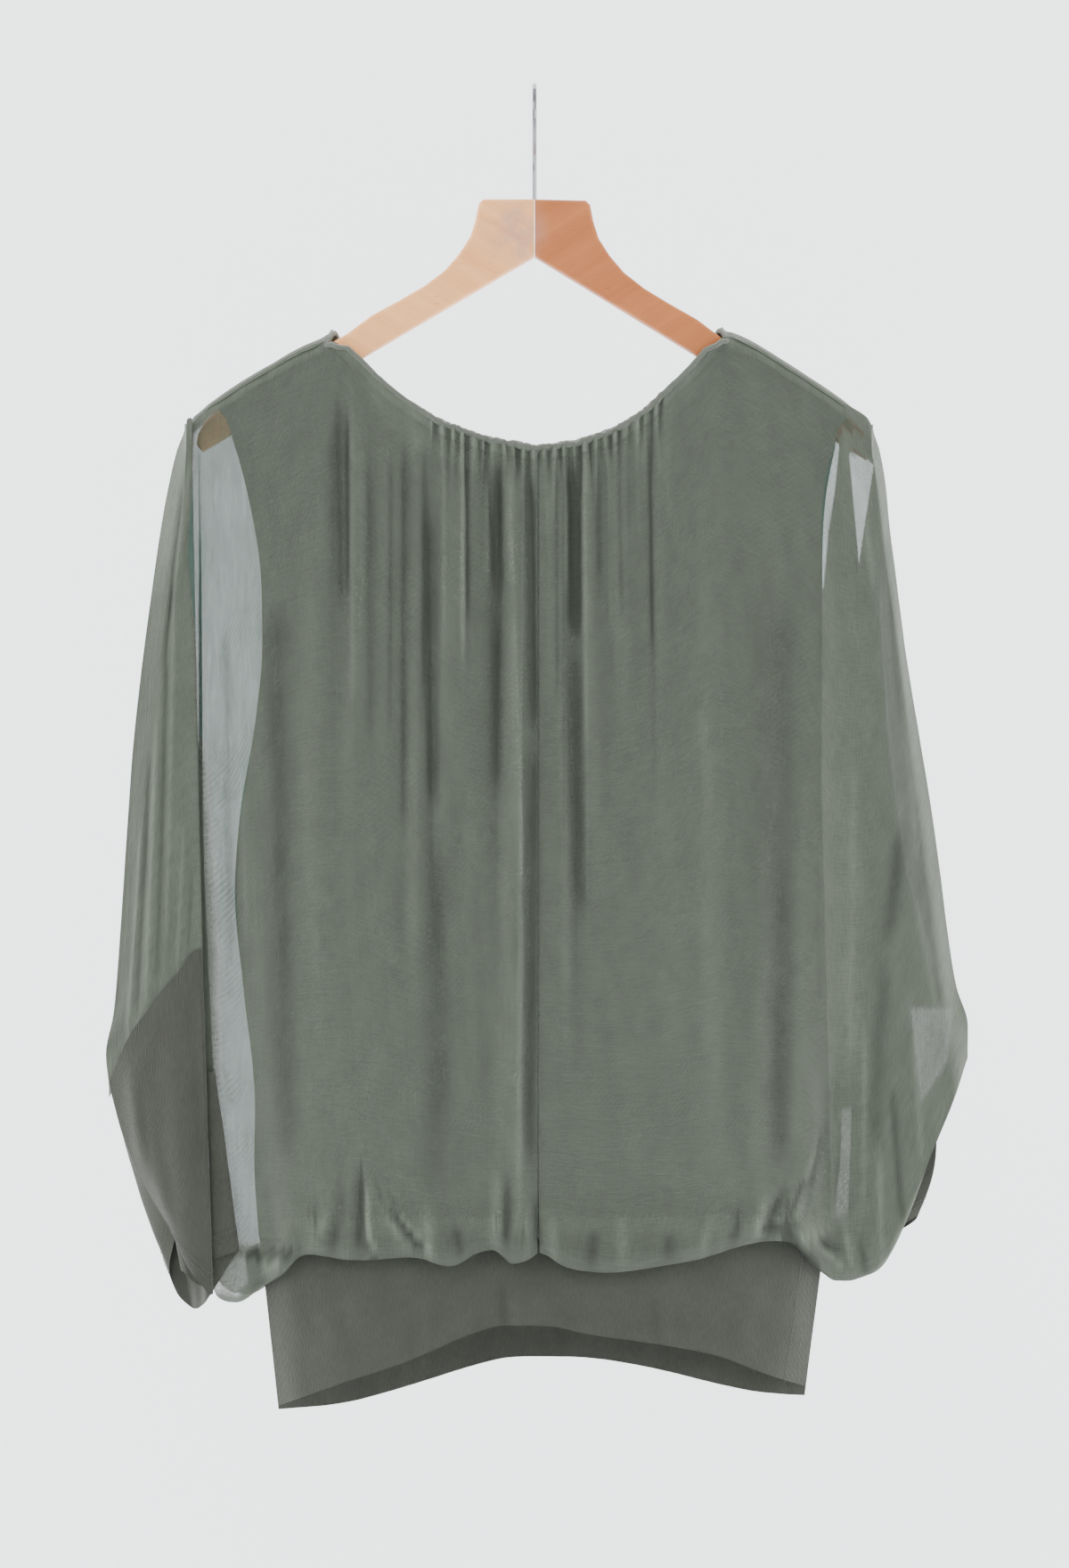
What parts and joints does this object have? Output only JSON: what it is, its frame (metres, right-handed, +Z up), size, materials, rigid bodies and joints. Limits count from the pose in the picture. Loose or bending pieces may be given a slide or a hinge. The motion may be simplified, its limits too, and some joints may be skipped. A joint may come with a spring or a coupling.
{
  "type": "draped blouse on a wooden hanger",
  "caption": "Loose sheer batwing blouse over an opaque vest, gathered round neck, jersey cuffs and hip band, hung on a flat wooden hanger.",
  "frame": {"origin": "top of the inside of the hook, where the hook rests on a rail", "axes": "+Z up, along the blouse's length; +X to the right as its front is seen; +Y to the back"},
  "size_m": [0.5635, 0.0951, 0.8576],
  "materials": {
    "chiffon": "sheer crinkled chiffon, dusty olive green",
    "lining": "fine opaque woven lining, the same olive green",
    "jersey": "cotton jersey, matt olive grey",
    "wood": "pale varnished beech with fine grain",
    "steel": "polished round steel wire"
  },
  "bodies": {
    "root": {"front_left": "chiffon", "front_right": "chiffon", "back": "chiffon", "neck_casing": "chiffon", "lining_front": "lining", "lining_back": "lining", "band_front": "jersey", "band_back": "jersey", "cuff_left": "jersey", "cuff_right": "jersey", "hanger_arm_left": "wood", "hanger_arm_right": "wood", "hanger_hook": "steel"}
  },
  "joints": []
}
